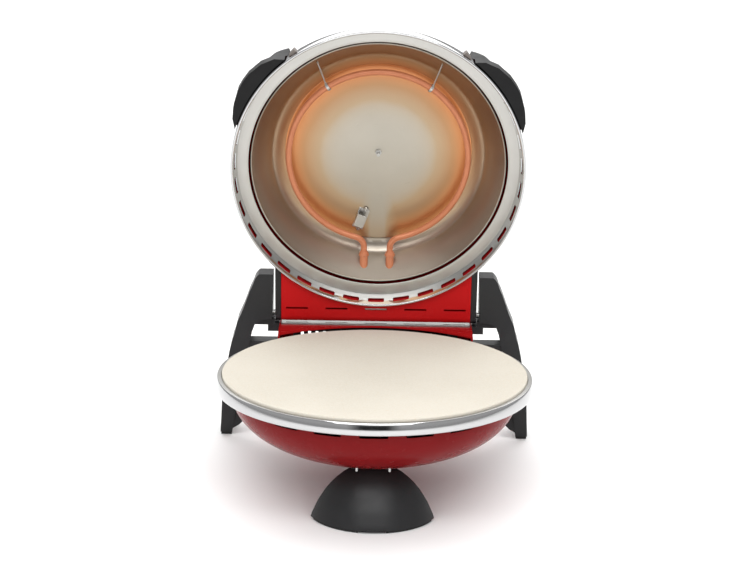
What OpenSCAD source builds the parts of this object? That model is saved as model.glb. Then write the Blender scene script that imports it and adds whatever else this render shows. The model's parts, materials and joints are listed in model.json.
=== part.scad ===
// Countertop pizza oven: a red steel bowl that holds a round baking stone over a heating
// element, and a red dome with a second element, hinged at the back between two black side
// frames. Millimetres, +Z up, the front faces -Y and the table is z = 0.
// Two frames are used below: base_at() puts its origin at the centre of the base ring's top
// face, and lid_at() puts its origin at the centre of the lid's lip, drawn as if closed.

/* [Overall] */
// Height of the base ring's top face above the table
ring_h = 125; // [118:0.5:132]
// Distance of the bowl's axis from the origin along Y
axis_y = -27.33; // [-60:0.05:-20]
// Angle at which the lid rests open
lid_open = 80.5; // [60:0.5:80.5]

/* [Base] */
// Outer radius of the chrome band
base_r = 161; // [160.5:0.1:162]
// Height of the chrome band
band_h = 12.5; // [11:0.1:12.5]
// Largest radius of the red bowl
bowl_r = 145.8; // [144.8:0.1:146]
// Depth of the red bowl below the band's seat
bowl_d = 69; // [64:0.5:72]
// Roundness of the bowl (2 is an ellipse)
bowl_p = 2.24; // [2:0.02:2.4]
// Sheet thickness of the bowl and the dome
sheet = 1.2; // [0.8:0.1:1.4]
// Vent slots round the bowl, one at the front
bowl_slots = 20; // [18:2:22]

/* [Stone] */
// Radius of the baking stone
stone_r = 155; // [153:0.5:155]
// Thickness of the baking stone
stone_t = 15.5; // [12:0.5:16]

/* [Lid] */
// Outer radius of the lid's lip
lid_r = 155.3; // [155:0.1:156]
// Height of the dome above the lip
dome_h = 84; // [82:1:90]
// Gap between the base ring's top face and the closed lip
lid_gap = 4; // [3.6:0.1:5]
// Slots round the inside of the lip, one at the hinge
lip_slots = 35; // [30:1:36]
// Depth of the flat reflector above the lip
reflector_z = 60; // [59.5:0.5:60.5]

/* [Hinge] */
// Distance of the hinge axis behind the bowl's axis
hinge_y = 169; // [168:0.5:171]
// Height of the hinge axis above the base ring's top face
hinge_z = 17; // [16:0.5:18]
// Diameter of the hinge pins
pin_d = 6; // [5:0.1:6]

/* [Heating] */
// Diameter of the element tube
tube_d = 6.6; // [6:0.1:7.5]
// Radius of the upper loop
upper_loop_r = 95.7; // [94:0.1:96]
// Radius of the lower loop
lower_loop_r = 98; // [90:0.5:100]

/* [Controls] */
// Diameter of the two knobs
knob_d = 31; // [26:0.5:34]
// Angle of each knob from the front, round the dome
knob_turn = 22; // [20:1:26]
// Thickness of the handle over the dome
handle_t = 12; // [10:0.5:13]

/* [Hidden] */

$fn = 96;
e = 0.01;
seat_z = -band_h;            // the stone lies on this face
bowl_z = seat_z - 1.2;       // the bowl hangs under the ring's seat
red = [0.66, 0.10, 0.11];
chrome = [0.82, 0.83, 0.84];
steel = [0.66, 0.66, 0.64];
black = [0.07, 0.07, 0.08];

// Half of a rounded profile, from its widest point to the axis. up is 1 for a dome, -1 for a bowl.
function curve(r, d, p, z, up, n = 26, from = 0) =
  [for (i = [0 : n]) let (s = from + (90 - from) * i / n)
    [max(0, r * pow(max(0, cos(s)), 2 / p)), z + up * d * pow(sin(s), 2 / p)]];
function rev(v) = [for (i = [len(v) - 1 : -1 : 0]) v[i]];
// Height of the dome's outer face, and its slope, at a radius
dome_p = 2.05;
dome_w = lid_r - 1.2;
dome_z0 = 8;
screw_ring = 126;
function dome_at(r, t = 0) = dome_z0 + (dome_h - dome_z0 + t) * pow(1 - pow(r / (dome_w + t), dome_p), 1 / dome_p);
function dome_tilt(r) = atan((dome_at(r - 1) - dome_at(r + 1)) / 2);

module base_at() { translate([0, axis_y, ring_h]) children(); }
module lid_at() {
  translate([0, axis_y + hinge_y, ring_h + hinge_z]) rotate([-lid_open, 0, 0])
    translate([0, -hinge_y, lid_gap - hinge_z]) children();
}
// A point on the dome, with +Z along its outward normal
module dome_point(turn, r, lift = 0) {
  rotate([0, 0, turn]) translate([0, -r, dome_at(r)]) rotate([dome_tilt(r), 0, 0]) translate([0, 0, lift]) children();
}
module arc_slot(mid, wide, r0, r1, z, h) {
  rotate([0, 0, mid - wide / 2]) rotate_extrude(angle = wide) translate([r0, z]) square([r1 - r0, h]);
}
module along_x(x0, x1) { translate([x0, 0, 0]) rotate([90, 0, 90]) linear_extrude(x1 - x0) children(); }
module along_y(y0, y1) { translate([0, y1, 0]) rotate([90, 0, 0]) linear_extrude(y1 - y0) children(); }
module both() { children(); mirror([1, 0, 0]) children(); }
// Round-headed screw, head up, its seat at z = 0
module screw(d, long, head) {
  translate([0, 0, -long]) cylinder(d = d, h = long);
  difference() {
    cylinder(d1 = head, d2 = head * 0.72, h = head * 0.34);
    for (a = [0, 90]) rotate([0, 0, a]) translate([-head * 0.3, -0.4, head * 0.2]) cube([head * 0.6, 0.8, head]);
  }
}
ferrule_axis = 15;           // dip of the upper loop's ends towards the lip
loop_z = 45;                 // height of the upper loop above the lip
function leg_y(r, bend = 12) = (r + bend) * cos(asin((14 + bend) / (r + bend)));
module rod(p, q, d) { v = q - p; translate(p) rotate([0, acos(v[2] / norm(v)), atan2(v[1], v[0])]) cylinder(d = d, h = norm(v)); }
// A loop of tube with both ends turned outwards beside the +Y axis. Each length of tube stops just
// short of the next, inside a slightly larger bead.
module element(r, rise, bend, long, drop) {
  a = asin((14 + bend) / (r + bend));
  cy = (r + bend) * cos(a);
  gap = 0.1;
  translate([0, 0, rise]) {
    rotate([0, 0, 90 + a + gap]) rotate_extrude(angle = 360 - 2 * a - 2 * gap) translate([r, 0]) circle(d = tube_d);
    both() {
      translate([r * sin(a), r * cos(a), 0]) sphere(d = tube_d + 0.5);
      translate([14 + bend, cy, 0]) rotate([0, 0, 181]) rotate_extrude(angle = 88 - a) translate([bend, 0]) circle(d = tube_d);
      translate([14, cy, 0]) { sphere(d = tube_d + 0.5); rotate([drop - 90, 0, 0]) translate([0, 0, 0.2]) cylinder(d = tube_d, h = long); }
    }
  }
}

// ---- Base ----

module base_shell() color(red) base_at() difference() {
  rotate_extrude() polygon(concat(
    [[152.5, bowl_z], [152.5, bowl_z - sheet]],
    [for (p = curve(bowl_r, bowl_d, bowl_p, seat_z, -1, 34)) if (p[1] < bowl_z - sheet - 0.6) p],
    [for (p = rev(curve(bowl_r - sheet, bowl_d - sheet, bowl_p, seat_z, -1, 34))) if (p[1] < bowl_z - 0.6) p],
    [[bowl_r - sheet, bowl_z]]));
  for (i = [0 : bowl_slots - 1]) let (a = -90 + i * 360 / bowl_slots)
    if (sin(a) < 0.75) arc_slot(a, 11, bowl_r - 6, bowl_r + 3, seat_z - 6.6, 2.6);
  for (p = foot_holes) translate([p[0], p[1], seat_z - bowl_d - 1]) cylinder(d = 4.4, h = 60);
  for (x = [-14, 14]) translate([x, 120, -34]) rotate([-90, 0, 0]) cylinder(d = 9, h = 40);
}
foot_holes = [[-16, -90.5], [16, -90.5]];

module base_rim_ring() color(chrome) base_at() rotate_extrude() polygon([
  [155.4, 0], [base_r - 0.6, 0], [base_r, -0.6], [base_r, 0.6 - band_h], [base_r - 0.6, -band_h],
  [base_r - 1.4, -band_h], [base_r - 1.4, -1.4], [156.8, -1.4], [156.8, seat_z - 1], [145.6, seat_z - 1],
  [145.6, seat_z], [155.4, seat_z]]);

module baking_stone() color([0.90, 0.86, 0.74]) base_at() rotate_extrude() polygon([
  [0, seat_z], [stone_r - 0.8, seat_z], [stone_r, seat_z + 0.8], [stone_r, seat_z + stone_t - 1.8],
  [stone_r - 0.5, seat_z + stone_t - 0.6], [stone_r - 1.8, seat_z + stone_t], [0, seat_z + stone_t]]);

module lower_reflector() color(steel) base_at() difference() {
  rotate_extrude() polygon([
    [143.6, -16], [143.6, -16.8], [138.4, -16.8], [119, -41], [0, -41], [0, -40.2], [119.4, -40.2], [138.8, -16]]);
  for (a = [45 : 90 : 315]) rotate([0, 0, a]) translate([92, 0, -45]) cylinder(d = 4.2, h = 10);
  both() translate([14, 132, -25]) rotate([-90, 0, 0]) translate([0, 0, -14]) cylinder(d = 8.6, h = 24);
}

module reflector_posts() color(steel) base_at() for (a = [45 : 90 : 315]) rotate([0, 0, a]) translate([92, 0, 0]) {
  translate([0, 0, -63.5]) cylinder(d = 8, h = 22.4);
  translate([0, 0, -41.2]) cylinder(d = 3.9, h = 1.2);
  translate([0, 0, -40.1]) cylinder(d1 = 7, d2 = 5, h = 2.2);
}

module lower_heating_element() color([0.34, 0.27, 0.25]) base_at() element(lower_loop_r, -25, 12, 32.5, 0);

module lower_element_ferrules() color(steel) base_at() both() translate([14, 0, -25]) rotate([-90, 0, 0]) difference() {
  union() {
    translate([0, 0, 122.5]) cylinder(d = 8.4, h = 13.5);
    translate([0, 0, 120]) cylinder(d = 11.5, h = 4, $fn = 6);
  }
  translate([0, 0, 110]) cylinder(d = tube_d + 0.2, h = 40);
}

module lower_element_clips() color(steel) base_at() for (a = [-150, -90, -30]) rotate([0, 0, a]) {
  difference() {
    translate([lower_loop_r - 6, -4, -40.1]) cube([12, 8, 20]);
    translate([lower_loop_r - 4.8, -5, -39.1]) cube([9.6, 10, 9.5]);
    translate([lower_loop_r, -5, -25]) rotate([-90, 0, 0]) cylinder(d = tube_d + 0.3, h = 10);
    translate([lower_loop_r - tube_d / 2 - 0.15, -5, -25]) cube([tube_d + 0.3, 10, 8]);
  }
}

module lower_insulation_disc() color([0.82, 0.80, 0.74]) base_at() difference() {
  translate([0, 0, -55]) cylinder(r = 84, h = 13.6);
  translate([0, 0, -56]) cylinder(r = 10, h = 16);
}

// ---- Front foot: the front part of a moulded dome, cut flat behind ----

foot_y = -59.5;
foot_h = 121;     // up to where it meets the bowl
function foot_profile() = [[66.5, -ring_h + 3], [65.4, -118], [62.8, -111.4], [60.2, -105], [56.9, -98.9], [53.3, -92.5],
  [49.1, -86.3], [44.1, -80], [38.2, -73.8], [31.5, -68], [22, -62], [10, -58], [0, -57]];
module bowl_clear(t) rotate_extrude() polygon(concat([[0, 10], [bowl_r + t, 10]],
  curve(bowl_r + t, bowl_d + t, bowl_p, seat_z, -1, 34)));
module front_foot() color(black) base_at() difference() {
  translate([0, foot_y, 0]) rotate_extrude() polygon(concat([[0, -ring_h + 3]], foot_profile()));
  translate([-100, -85, -ring_h - 1]) cube([200, 120, 100]);
  bowl_clear(0.3);
  // hollow behind the skin, with a rib on the middle
  both() difference() {
    translate([0, foot_y, 0]) intersection() {
      rotate_extrude() polygon([[0, -ring_h + 2], [63.4, -ring_h + 2], [62.2, -118], [59.7, -111.4], [53.8, -98.9],
        [46, -86.3], [35, -76], [0, -76]]);
      translate([1.5, -70, -ring_h - 2]) cube([80, 42, 120]);
    }
  }
  for (p = foot_holes) translate([p[0], p[1], -100]) cylinder(d = 3.2, h = 60);
}

module front_foot_pads() color([0.12, 0.12, 0.12]) base_at() intersection() {
  translate([0, foot_y, -ring_h]) difference() { cylinder(r = 64.5, h = 2.9); translate([0, 0, -1]) cylinder(r = 44, h = 5); }
  union() { both() translate([14, -130, -ring_h]) cube([60, 44, 3]); }
}

// ---- Side frames ----

frame_front = [[125.5, 62], [127.5, 60.5], [130.5, 56.5], [133, 49.5], [136, 43], [138.5, 36], [141, 29], [143.5, 22],
  [146.5, 15], [149.5, 8], [152.5, -5.5], [155, -12.5], [158, -26], [163, -55], [166.5, -84], [168.4, -ring_h + 3.5],
  [155.6, -ring_h + 3.5], [150.5, -84], [143.5, -45], [136, -14.5], [133, -1], [130, 7], [123.5, 11], [111.5, 13], [111, 62]];
frame_side = [[157, 70], [155, 40], [154.5, 15], [156, -10], [161, -50], [167, -90], [173, -ring_h],
  [214, -ring_h], [207, -90], [199, -50], [194, -10], [191, 15], [187, 40], [181, 70]];
module side_frame() difference() {
  union() {
    intersection() {
      along_y(150, 220) polygon(frame_front);
      along_x(100, 175) polygon(frame_side);
    }
    translate([109.3, 160, 5.2]) cube([21, 20, 6.8]);
    translate([104.3, 160, -2]) cube([12, 20, 8.4]);
    translate([104.3, 160, -20.5]) cube([34, 20, 6.8]);
    // web that ties the leg to the rear housing
    along_y(172, 176) polygon([[104.3, -20], [137, -20], [146, -60], [156.5, -118], [148, -113], [128, -92], [104.3, -70]]);
  }
  // moulding core, open to the back
  intersection() {
   along_x(100, 175) translate([3.4, 0]) polygon(concat([for (i = [0 : 6]) frame_side[i]], [[260, -ring_h], [260, 70]]));
   translate([0, 150, 0]) along_y(0, 90) polygon([[114, 59], [124.5, 59], [130, 46], [137.5, 28], [146, 8.5], [151, -10],
    [154.5, -26], [163, -84], [164.8, -ring_h + 8], [158.5, -ring_h + 8], [154, -84], [147, -45], [139.3, -14], [135.5, 2], [131.5, 9.5], [124, 14.2], [124, 27], [114, 27]]);
  }
  translate([110, hinge_y, hinge_z]) rotate([0, 90, 0]) cylinder(d = pin_d + 0.1, h = 13);
  for (z = [2.2, -17.1]) translate([100, 171, z]) rotate([0, 90, 0]) { cylinder(d = 3.4, h = 30); translate([0, 0, 12]) cylinder(d = 6.4, h = 70); }
}
module right_side_frame() color(black) base_at() side_frame();
module left_side_frame() color(black) base_at() mirror([1, 0, 0]) side_frame();

module rear_foot_pads() color([0.12, 0.12, 0.12]) base_at() both()
  translate([156.2, 175, -ring_h]) cube([11.6, 37, 3.4]);

module hinge_pins() color(steel) base_at() both() translate([0, hinge_y, hinge_z]) rotate([0, 90, 0]) {
  translate([0, 0, 101.8]) cylinder(d = pin_d, h = 21);
  difference() {
    translate([0, 0, 99]) cylinder(d = 9.6, h = 3);
    translate([0, 0, 98]) cylinder(d = 3.5, h = 2.4, $fn = 6);
  }
}

// ---- Base rear housing ----

house_w = 104;
house_out = [[120, 5], [188, 5], [190, 3], [190, -40], [184, -56], [160, -72], [120, -72]];
house_in = [[110, 3.2], [187, 3.2], [188.2, 2], [188.2, -39.6], [182.7, -54.5], [159.5, -70.2], [110, -70.2]];
module base_rear_housing() color(red) base_at() difference() {
  along_x(-house_w, house_w) polygon(house_out);
  along_x(-house_w + 1.8, house_w - 1.8) polygon(house_in);
  translate([0, 0, -14.2]) cylinder(r = 161.4, h = 30);
  translate([0, 0, -15.4]) cylinder(r = 153, h = 3);
  bowl_clear(0.3);
  // seat of the vent plate and air slots under it
  translate([-102.3, 162.2, 5 - 0.6]) cube([204.6, 16.2, 3]);
  for (x = [-85, -42.5, 0, 42.5, 85]) translate([x - 13, 167.5, -1]) cube([26, 5, 8]);
  // opening behind, for the cover
  translate([-90, 187, -36]) cube([180, 6, 34]);
  for (s = [-1, 1], z = [2.2, -17.1]) translate([s * (house_w - 4), 171, z]) rotate([0, 90, 0]) cylinder(d = 3.2, h = 12, center = true);
}

module base_vent_plate() color(steel) base_at() difference() {
  translate([-102, 162.5, 4.5]) cube([204, 15.6, 1.3]);
  for (x = [-85, -42.5, 0, 42.5, 85]) translate([x - 12, 168.8, 3]) cube([24, 2.4, 5]);
}

module base_rear_cover() color(black) base_at() difference() {
  translate([-98, 190.2, -40]) cube([196, 2.4, 41]);
  for (x = [-80 : 8 : 24]) translate([x - 1.6, 188, -30]) cube([3.2, 8, 20]);
  translate([48, 188, -32]) cube([30, 8, 24]);
  for (s = [-1, 1], z = [-36, -3]) translate([s * 94, 180, z]) rotate([-90, 0, 0]) cylinder(d = 3.4, h = 20);
}

module power_inlet() color([0.05, 0.05, 0.05]) base_at() translate([63, 0, -20]) difference() {
  union() {
    translate([-14.8, 176, -11.8]) cube([29.6, 17, 23.6]);
    translate([-17, 192.7, -14]) cube([34, 2.2, 28]);
  }
  difference() {
    translate([-11.5, 181, -8]) cube([23, 20, 16]);
    for (p = [[-7, 2.2], [7, 2.2], [0, -2.6]]) translate([p[0] - 1, 180, p[1] - 2.2]) cube([2, 10, 4.4]);
  }
}

module base_terminal_block() color([0.93, 0.92, 0.88]) base_at() difference() {
  translate([-72, 166, -32]) cube([44, 15, 14]);
  for (i = [0 : 3]) translate([-66.5 + i * 11, 171, -24]) { cylinder(d = 5, h = 12); translate([0, 0, 0]) rotate([-90, 0, 0]) translate([0, 0, -10]) cylinder(d = 3.4, h = 40); }
}

module thermal_cutout() color([0.75, 0.73, 0.66]) base_at() translate([-4, 160, -48]) {
  cylinder(d = 15, h = 7);
  translate([0, 0, 7]) cylinder(d = 9, h = 3);
  for (x = [-4, 4]) translate([x - 2, -0.4, 10]) cube([4, 0.8, 8]);
}

module foot_screws() color(steel) base_at() for (p = foot_holes) translate([p[0], p[1], 0]) {
  translate([0, 0, -86]) cylinder(d = 3, h = 30);
  translate([0, 0, -63]) cylinder(d = 6.5, h = 2.4);
}

module side_frame_screws() color([0.3, 0.3, 0.32]) base_at() both() for (z = [2.2, -17.1])
  translate([112.1, 171, z]) rotate([0, 90, 0]) screw(3, 13.5, 5.6);

module rear_cover_screws() color(steel) base_at() for (s = [-1, 1], z = [-36, -3])
  translate([s * 94, 192.7, z]) rotate([-90, 0, 0]) screw(3, 2.2, 6);

// ---- Lid ----

module lid_shell() color(red) lid_at() difference() {
  rotate_extrude() polygon(concat(
    [[dome_w, lid_gap], [dome_w, dome_z0]], [for (p = curve(dome_w, dome_h - dome_z0, dome_p, dome_z0, 1, 34)) if (p[1] > dome_z0 + 0.8) p],
    [for (p = rev(curve(dome_w - 1, dome_h - dome_z0 - 1, dome_p, dome_z0, 1, 34))) if (p[1] > dome_z0 + 0.8) p],
    [[dome_w - 1, dome_z0], [dome_w - 1, lid_gap]]));
  // wire way into the rear housing, and the holes under the controls
  for (x = [-14, 14]) translate([x, 120, 30]) rotate([-90, 0, 0]) cylinder(d = 10, h = 50);
  for (s = [-1, 1]) dome_point(s * knob_turn, 106) cylinder(d = 34, h = 30, center = true);
  for (s = [-1, 1]) dome_point(s * 5, 112) cylinder(d = 9, h = 30, center = true);
  for (s = [-1, 1]) dome_point(s * 60, screw_ring) cylinder(d = 3.4, h = 10, center = true);
}

module lid_rim_ring() color(chrome) lid_at() difference() {
  rotate_extrude() polygon([[lid_r, 12.5], [lid_r, 1], [lid_r - 1, 0], [153.2, 0], [152.4, 0.9], [148.9, 19.4],
    [149.9, 19.4], [153.2, 1.8], [lid_r - 1, 2], [lid_r - 1, 12.5]]);
  for (i = [0 : lip_slots - 1]) arc_slot(90 + i * 360 / lip_slots, 6.7, 145, 153.6, 5, 7);
}

module lid_flange_ring() color(steel) lid_at() rotate_extrude() polygon([
  [149.8, 19.7], [149.8, 20.9], [137.2, 20.9], [137.2, 19.7]]);

// The cone with its rolled rim, and the loose disc that closes it
reflector_face = [[135.2, 24.9], [135.6, 24], [135.3, 23], [134.5, 22.6], [133.7, 22.9], [133.2, 23.8], [115.6, 51.4], [113.8, 54.3],
  [111, 56.7], [107.5, 58.5], [103.5, 59.7], [100.3, reflector_z]];
module lid_reflector() color(steel) lid_at() difference() {
  rotate_extrude() polygon(concat(rev(reflector_face), [[134.4, 25], [116.4, 51.9], [114.5, 55], [111.5, 57.5], [107.8, 59.4],
    [103.7, 60.6], [100.4, reflector_z + 1.8], [94, reflector_z + 1.8], [94, reflector_z + 1], [100.3, reflector_z + 1]]));
  both() ferrule_at() translate([0, 0, 5]) cylinder(d = 9.2, h = 30);
}
module reflector_roof() color(steel) lid_at() difference() {
  translate([0, 0, reflector_z]) cylinder(r = 100.1, h = 0.9);
  translate([0, 0, reflector_z - 10]) cylinder(d = 4.2, h = 20);
  for (p = sensor_screws) translate([p[0], p[1], reflector_z - 10]) cylinder(d = 3.2, h = 20);
}
// Where an end of the upper loop leaves its bend, +Z along the tube
module ferrule_at() translate([14, leg_y(upper_loop_r), loop_z]) rotate([-90 - ferrule_axis, 0, 0]) children();

module lid_insulation_disc() color([0.82, 0.80, 0.74]) lid_at() difference() {
  translate([0, 0, reflector_z + 1.1]) cylinder(r = 76, h = 8);
  translate([0, 0, reflector_z - 5]) cylinder(r = 6, h = 30);
  for (p = sensor_screws) translate([p[0], p[1], reflector_z - 10]) cylinder(d = 8, h = 30);
}

module upper_heating_element() color([0.78, 0.42, 0.28]) lid_at() element(upper_loop_r, loop_z, 12, 28, -ferrule_axis);

module upper_element_ferrules() color([0.78, 0.70, 0.60]) lid_at() both() ferrule_at() difference() {
  union() {
    translate([0, 0, 6.6]) cylinder(d = 11, h = 3);
    translate([0, 0, 9.6]) cylinder(d = 8.6, h = 15);
    translate([0, 0, 4.4]) cylinder(d = 9.2, h = 2.2);
  }
  cylinder(d = tube_d + 0.2, h = 60, center = true);
}

module element_wire_clips() color(steel) lid_at() for (t = [-1, 1]) {
  rotate([0, 0, t * 34.6]) translate([0, -upper_loop_r, loop_z]) rotate([0, 90, 0]) difference() {
    union() {
      cylinder(d = tube_d + 2.6, h = 3, center = true);
      translate([-9.7, -1.2, -1.5]) cube([6.5, 2.4, 3]);
    }
    cylinder(d = tube_d + 0.3, h = 5, center = true);
  }
  rod([t * 129.3 * sin(30.2), -129.3 * cos(30.2), 27.3], [t * 99.6 * sin(34.6), -99.6 * cos(34.6), 43.6], 1.8);
}

sensor_screws = [[-12.5, 66], [-20.8, 88]];
module sensor_bracket() color([0.80, 0.79, 0.76]) lid_at() difference() {
  union() {
    translate([-16.8, 77, reflector_z - 1.4]) rotate([0, 0, 20]) {
      translate([-7, -12, 0]) cube([12, 24, 1.2]);
      translate([-7, -7, -9]) cube([1.2, 14, 9.2]);
      translate([-7, -7, -9]) cube([10, 14, 1.2]);
    }
  }
  for (p = sensor_screws) translate([p[0], p[1], reflector_z - 10]) cylinder(d = 3.2, h = 20);
}
module sensor_bracket_screws() color(steel) lid_at() for (p = sensor_screws)
  translate([p[0], p[1], reflector_z - 1.6]) mirror([0, 0, 1]) screw(3, 5, 5.6);

module reflector_screw() color([0.45, 0.45, 0.45]) lid_at() translate([0, 0, reflector_z]) {
  mirror([0, 0, 1]) { cylinder(d = 4, h = 9); translate([0, 0, 0.1]) cylinder(d = 7, h = 3, $fn = 6); }
  translate([0, 0, -0.1]) cylinder(d = 4, h = 9);
}

// ---- Lid rear housing and cheeks ----

pivot = [hinge_y, hinge_z - lid_gap];
function pivot_arc(r, a0, a1, n = 10) = [for (i = [0 : n]) let (a = a0 + (a1 - a0) * i / n) pivot + r * [cos(a), sin(a)]];
module lid_clear(t) {
  rotate_extrude() polygon(concat([[0, -20], [lid_r + t, -20], [lid_r + t, 12.9]],
    [for (p = curve(dome_w + t, dome_h - dome_z0 + t, dome_p, dome_z0, 1, 34)) if (p[1] > 13.2) p]));
}
module lid_rear_housing() color(red) lid_at() difference() {
  along_x(-102, 102) polygon(concat([[100, 4.5]], pivot_arc(8.5, -90, 55), [[152, 36], [132, 48], [100, 56]]));
  along_x(-100.2, 100.2) polygon(concat([[90, 6.3]], pivot_arc(6.7, -90, 55), [[150.8, 34.6], [131.2, 46.3], [90, 56]]));
  lid_clear(0.35);
  for (x = [-85, -42.5, 0, 42.5, 85]) translate([x - 11.75, 159, 0]) cube([23.5, 2.3, 10]);
  for (s = [-1, 1]) translate([s * 101, hinge_y, pivot[1]]) rotate([0, 90, 0]) cylinder(d = 11, h = 4, center = true);
  for (s = [-1, 1]) translate([s * 101, 150, 22]) rotate([0, 90, 0]) cylinder(d = 3.2, h = 6, center = true);
}

module lid_cheek() difference() {
  along_x(102.3, 108.5) polygon(concat([[100, 4.3]], pivot_arc(8.7, -90, 0, 6), pivot_arc(10.5, 5, 60, 6), [[154, 38], [134, 50.5], [112, 58], [100, 58]]));
  lid_clear(0.35);
  translate([100, hinge_y, pivot[1]]) rotate([0, 90, 0]) cylinder(d = pin_d + 0.1, h = 12);
  translate([100, 150, 22]) rotate([0, 90, 0]) cylinder(d = 3.2, h = 12);
}
module right_lid_cheek() color(black) lid_at() lid_cheek();
module left_lid_cheek() color(black) lid_at() mirror([1, 0, 0]) lid_cheek();
module cheek_screws() color(steel) lid_at() both() translate([100, 150, 22]) rotate([0, -90, 0]) {
  cylinder(d = 5.6, h = 3);
  translate([0, 0, -6.4]) cylinder(d = 3, h = 6.5);
}

// ---- Handle and controls ----

module handle_profile(t0, t1) rotate_extrude() polygon(concat([[0, dome_h + t0], [0, dome_h + t1]],
  rev(curve(dome_w + t1, dome_h - dome_z0 + t1, dome_p, dome_z0, 1, 34)),
  [[dome_w + t1, 6], [lid_r + 1.2, 6], [lid_r + 1.2, 14.5]],
  [for (p = curve(dome_w + t0, dome_h - dome_z0 + t0, dome_p, dome_z0, 1, 34)) if (p[0] < dome_w && p[1] > 15.5 && p[0] > 0) p]));
// The band over the dome seen from above, and one of the two ears that reach down to the lip
module band_plan() intersection() {
  difference() { circle(r = 125); circle(r = 86); }
  polygon([[0, 0], [-180, -52], [-180, -200], [180, -200], [180, -52]]);
}
module ear_plan() difference() {
  polygon([[60, -68], [100, -32], [139, -44], [150.2, -44.8], [152.6, -56.5], [151.6, -69.2], [146.4, -88], [142, -96], [135.6, -105],
    [123, -116.2], [109, -122.4], [95, -121.8], [92, -108]]);
  circle(r = 88);
}
// The grip: the part of each ear that stands out past the lip
module grip_plan() difference() {
  polygon([[139, -41], [150.2, -44.8], [152.6, -56.5], [151.6, -69.2], [146.4, -88], [142, -96], [135.6, -105], [123, -116.2],
    [109, -122.4], [95, -121.8], [85, -108]]);
  circle(r = lid_r + 1.2);
}
module lid_handle() color(black) lid_at() difference() {
 union() {
  intersection() {
    handle_profile(0.3, handle_t);
    union() {
      linear_extrude(110) band_plan();
      linear_extrude(110) ear_plan();
      mirror([1, 0, 0]) linear_extrude(110) ear_plan();
    }
  }
  both() translate([0, 0, 3]) linear_extrude(13) grip_plan();
 }
  for (s = [-1, 1]) dome_point(s * knob_turn, 106) cylinder(d = 30, h = 50, center = true);
  for (s = [-1, 1]) dome_point(s * 5, 112) cylinder(d = 7.4, h = 60, center = true);
  for (s = [-1, 1]) dome_point(s * 60, screw_ring) cylinder(d = 3.4, h = 16, center = true);
}

module handle_brackets() color([0.42, 0.38, 0.34]) lid_at() both()
  translate([0, 0, 5]) linear_extrude(9) polygon([[85.7, -129.8], [94, -124], [93.4, -126.4], [88.8, -132.4]]);

module handle_screws() color(steel) lid_at() for (s = [-1, 1]) dome_point(s * 60, screw_ring) {
  translate([0, 0, -4.6]) cylinder(d = 3, h = 11);
  translate([0, 0, -4.6]) cylinder(d = 6, h = 2.6);
}

module control_fascia() color([0.16, 0.16, 0.17]) lid_at() difference() {
  intersection() {
    handle_profile(handle_t + 0.2, handle_t + 1.6);
    linear_extrude(100) intersection() {
      difference() { circle(r = 122); circle(r = 90); }
      polygon([[0, 0], [-180, -280], [180, -280]]);
    }
  }
  for (s = [-1, 1]) dome_point(s * knob_turn, 106) cylinder(d = 8.4, h = 60, center = true);
  for (s = [-1, 1]) dome_point(s * 5, 112) cylinder(d = 7.4, h = 60, center = true);
}

module control_body(d, h) {
  translate([0, 0, handle_t - h]) cylinder(d = d, h = h - 1.2);
  translate([0, 0, handle_t - 1.3]) cylinder(d = 5.9, h = 7.5);
}
module thermostat() color([0.8, 0.78, 0.72]) lid_at() dome_point(-knob_turn, 106) {
  control_body(28, 13.5);
  for (x = [-7, 7]) translate([x - 3, -0.4, handle_t - 14.9]) cube([6, 0.8, 3]);
}
module timer() color([0.78, 0.78, 0.8]) lid_at() dome_point(knob_turn, 106) {
  control_body(28, 13);
  for (x = [-7, 7]) translate([x - 3, -0.4, handle_t - 14.6]) cube([6, 0.8, 3]);
}
module knob() translate([0, 0, handle_t + 2.4]) difference() {
  union() {
    cylinder(d = knob_d, h = 3);
    translate([0, 0, 3]) cylinder(d1 = knob_d - 4, d2 = knob_d - 7, h = 10);
    translate([-2.6, -knob_d / 2 + 2.4, 12.9]) cube([5.2, knob_d - 4.8, 3.2]);
  }
  translate([0, 0, -1]) cylinder(d = 6, h = 6.2);
  for (a = [10 : 20 : 350]) rotate([0, 0, a]) translate([knob_d / 2 - 2, 0, 3.6]) cylinder(d = 3, h = 20);
}
module thermostat_knob() color([0.12, 0.12, 0.13]) lid_at() dome_point(-knob_turn, 106) knob();
module timer_knob() color([0.12, 0.12, 0.13]) lid_at() dome_point(knob_turn, 106) knob();

module pilot_lenses() color([0.9, 0.35, 0.1]) lid_at() for (s = [-1, 1]) dome_point(s * 5, 112) {
  translate([0, 0, -2]) cylinder(d = 7, h = handle_t + 5);
}

module lid_terminal_block() color([0.93, 0.92, 0.88]) lid_at() difference() {
  translate([-18, 157.5, 7.5]) cube([36, 10, 11]);
  for (i = [0 : 2]) translate([-11 + i * 11, 162.5, 12]) cylinder(d = 4.4, h = 12);
}

base_shell();
base_rim_ring();
baking_stone();
lower_reflector();
reflector_posts();
lower_heating_element();
lower_element_ferrules();
lower_element_clips();
lower_insulation_disc();
front_foot();
front_foot_pads();
left_side_frame();
right_side_frame();
rear_foot_pads();
hinge_pins();
base_rear_housing();
base_vent_plate();
base_rear_cover();
power_inlet();
base_terminal_block();
thermal_cutout();
foot_screws();
side_frame_screws();
rear_cover_screws();
lid_shell();
lid_rim_ring();
lid_flange_ring();
lid_reflector();
reflector_roof();
lid_insulation_disc();
upper_heating_element();
upper_element_ferrules();
element_wire_clips();
sensor_bracket();
sensor_bracket_screws();
reflector_screw();
lid_rear_housing();
left_lid_cheek();
right_lid_cheek();
cheek_screws();
lid_handle();
handle_brackets();
handle_screws();
control_fascia();
thermostat();
thermostat_knob();
timer();
timer_knob();
pilot_lenses();
lid_terminal_block();
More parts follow.
